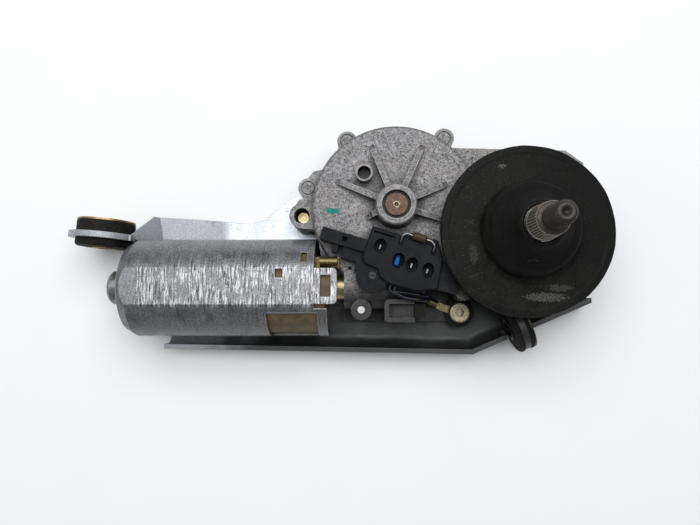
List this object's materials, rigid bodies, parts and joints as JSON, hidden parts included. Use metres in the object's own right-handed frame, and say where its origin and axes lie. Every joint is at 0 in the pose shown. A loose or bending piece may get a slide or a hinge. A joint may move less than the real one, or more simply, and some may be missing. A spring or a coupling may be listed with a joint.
{
  "type": "windshield wiper motor assembly",
  "caption": "Rear windshield wiper drive: motor, worm gearbox with crank linkage, splined wiper spindle with rubber boot, on a pressed bracket plate with rubber grommets.",
  "frame": {"origin": "on the wiper spindle's axis, at the flat underside of the bracket plate", "axes": "+Z out along the spindle to its threaded tip; +X along the motor axis, from the motor's closed end towards the spindle; +Y from the motor towards the gearbox hub"},
  "size_m": [0.2298, 0.095, 0.088],
  "materials": {
    "plate_steel": "dull zinc coated pressed steel",
    "rubber": "matte, dusty",
    "zinc": "zinc plated, lightly corroded",
    "cast_aluminium": "as cast, mottled grey",
    "gasket": "thin gasket",
    "yellow_zinc": "yellow zinc plating",
    "can_steel": "zinc plated drawn steel, scratched",
    "ferrite": "sintered",
    "bronze": "sintered bronze",
    "bright_steel": "bright turned steel",
    "core_steel": "laminated",
    "copper": "copper",
    "tan_plastic": "moulded",
    "carbon": "graphite",
    "wheel_plastic": "moulded acetal",
    "rusty_steel": "rusted steel",
    "brass": "stamped brass",
    "black_plastic": "moulded, dusty",
    "suppressor": "dipped brown",
    "wire_insulation": "soft insulation",
    "blue_insulation": "soft insulation"
  },
  "bodies": {
    "base": {"bracket_plate": "plate_steel", "left_grommet": "rubber", "lower_grommet": "rubber", "left_grommet_sleeve": "zinc", "lower_grommet_sleeve": "zinc", "gear_housing": "cast_aluminium", "gearbox_cover": "cast_aluminium", "cover_gasket": "gasket", "housing_screws": "zinc", "lobe_screw": "yellow_zinc", "motor_can": "can_steel", "field_magnets": "ferrite", "rear_bearing": "bronze", "front_bearing": "yellow_zinc", "brush_holder": "tan_plastic", "carbon_brushes": "carbon", "brush_springs": "bright_steel", "brush_terminal": "copper", "choke_coil": "copper", "hub_bush": "bronze", "park_contacts": "brass", "lower_spindle_bush": "bronze", "upper_spindle_bush": "bronze", "spindle_washer": "bright_steel", "spindle_seal": "rubber", "rubber_boot": "rubber", "connector_housing": "black_plastic", "connector_wedge": "black_plastic", "terminal_pins": "bright_steel", "cavity_lead": "blue_insulation", "connector_screw": "bright_steel", "suppressor_body": "suppressor", "suppressor_leads": "bright_steel", "ring_terminal": "yellow_zinc", "ground_washer": "black_plastic", "ground_screw": "yellow_zinc", "earth_wires": "wire_insulation", "side_screw": "zinc", "vent_plug": "rubber", "dowel_pin": "bright_steel", "end_play_screw": "bright_steel"},
    "armature": {"armature_shaft": "bright_steel", "armature_core": "core_steel", "armature_windings": "copper", "commutator": "copper"},
    "wheel": {"worm_wheel": "wheel_plastic", "wheel_axle": "rusty_steel", "hub_washer": "bright_steel", "crank_pin": "bright_steel", "contact_disc": "brass"},
    "spindle": {"wiper_spindle": "rusty_steel", "rocker_lever": "plate_steel", "lever_pin": "bright_steel", "lever_washer": "bright_steel", "spindle_circlip": "bright_steel"},
    "rod": {"connecting_rod": "plate_steel"}
  },
  "joints": [
    {"name": "armature_spin", "type": "hinge", "parent": "base", "child": "armature", "pos_m": [-0.06, -0.021, 0.021], "axis": [1, 0, 0], "continuous": true},
    {"name": "wheel_spin", "type": "hinge", "parent": "base", "child": "wheel", "pos_m": [-0.05, 0.011, 0.021], "axis": [0, 0, 1], "continuous": true},
    {"name": "wiper_sweep", "type": "hinge", "parent": "base", "child": "spindle", "pos_m": [0, 0, 0.04], "axis": [0, 0, 1], "range_deg": [0, 104]},
    {"name": "rod_swing", "type": "hinge", "parent": "spindle", "child": "rod", "pos_m": [0.01001, 0.00662, 0.0075], "axis": [0, 0, 1], "range_deg": [-104, 0]}
  ],
  "couplings": [
    {"joint": "wheel_spin", "follows": "armature_spin", "ratio": -0.018182},
    {"joint": "rod_swing", "follows": "wiper_sweep", "ratio": -1}
  ]
}
